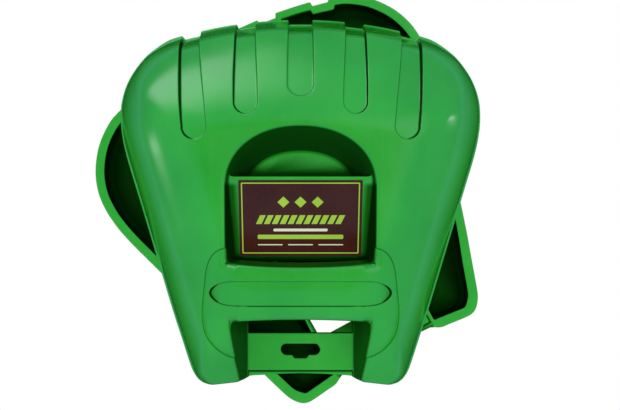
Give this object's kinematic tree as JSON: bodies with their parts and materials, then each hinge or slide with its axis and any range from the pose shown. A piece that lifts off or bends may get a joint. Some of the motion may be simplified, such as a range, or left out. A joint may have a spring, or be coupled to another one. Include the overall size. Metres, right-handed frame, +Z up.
{
  "type": "hand-held leaf scoops",
  "caption": "Pair of moulded plastic hand scoops that close mouth to mouth to gather leaves; each has finger ridges, a hand channel with grip band, and a hang tab.",
  "frame": {"origin": "middle of the pair's footprint, on the ground under the rear scoop's back", "axes": "+Z up; the rear scoop lies on its back with its mouth up, the front scoop lies mouth down on it; +Y to the front scoop's tines, +X to the right seen from above"},
  "size_m": [0.3654, 0.3886, 0.1803],
  "materials": {
    "green_plastic": "glossy moulded polypropylene",
    "label_film": "glossy printed film, dark brown with a lime border"
  },
  "bodies": {
    "rear": {"rear_scoop": "green_plastic"},
    "front": {"front_scoop": "green_plastic", "palm_label": "label_film"}
  },
  "joints": [
    {"name": "scoops_part", "type": "slide", "parent": "rear", "child": "front", "axis": [0, 0, 1], "range_m": [0, 0.35]}
  ]
}
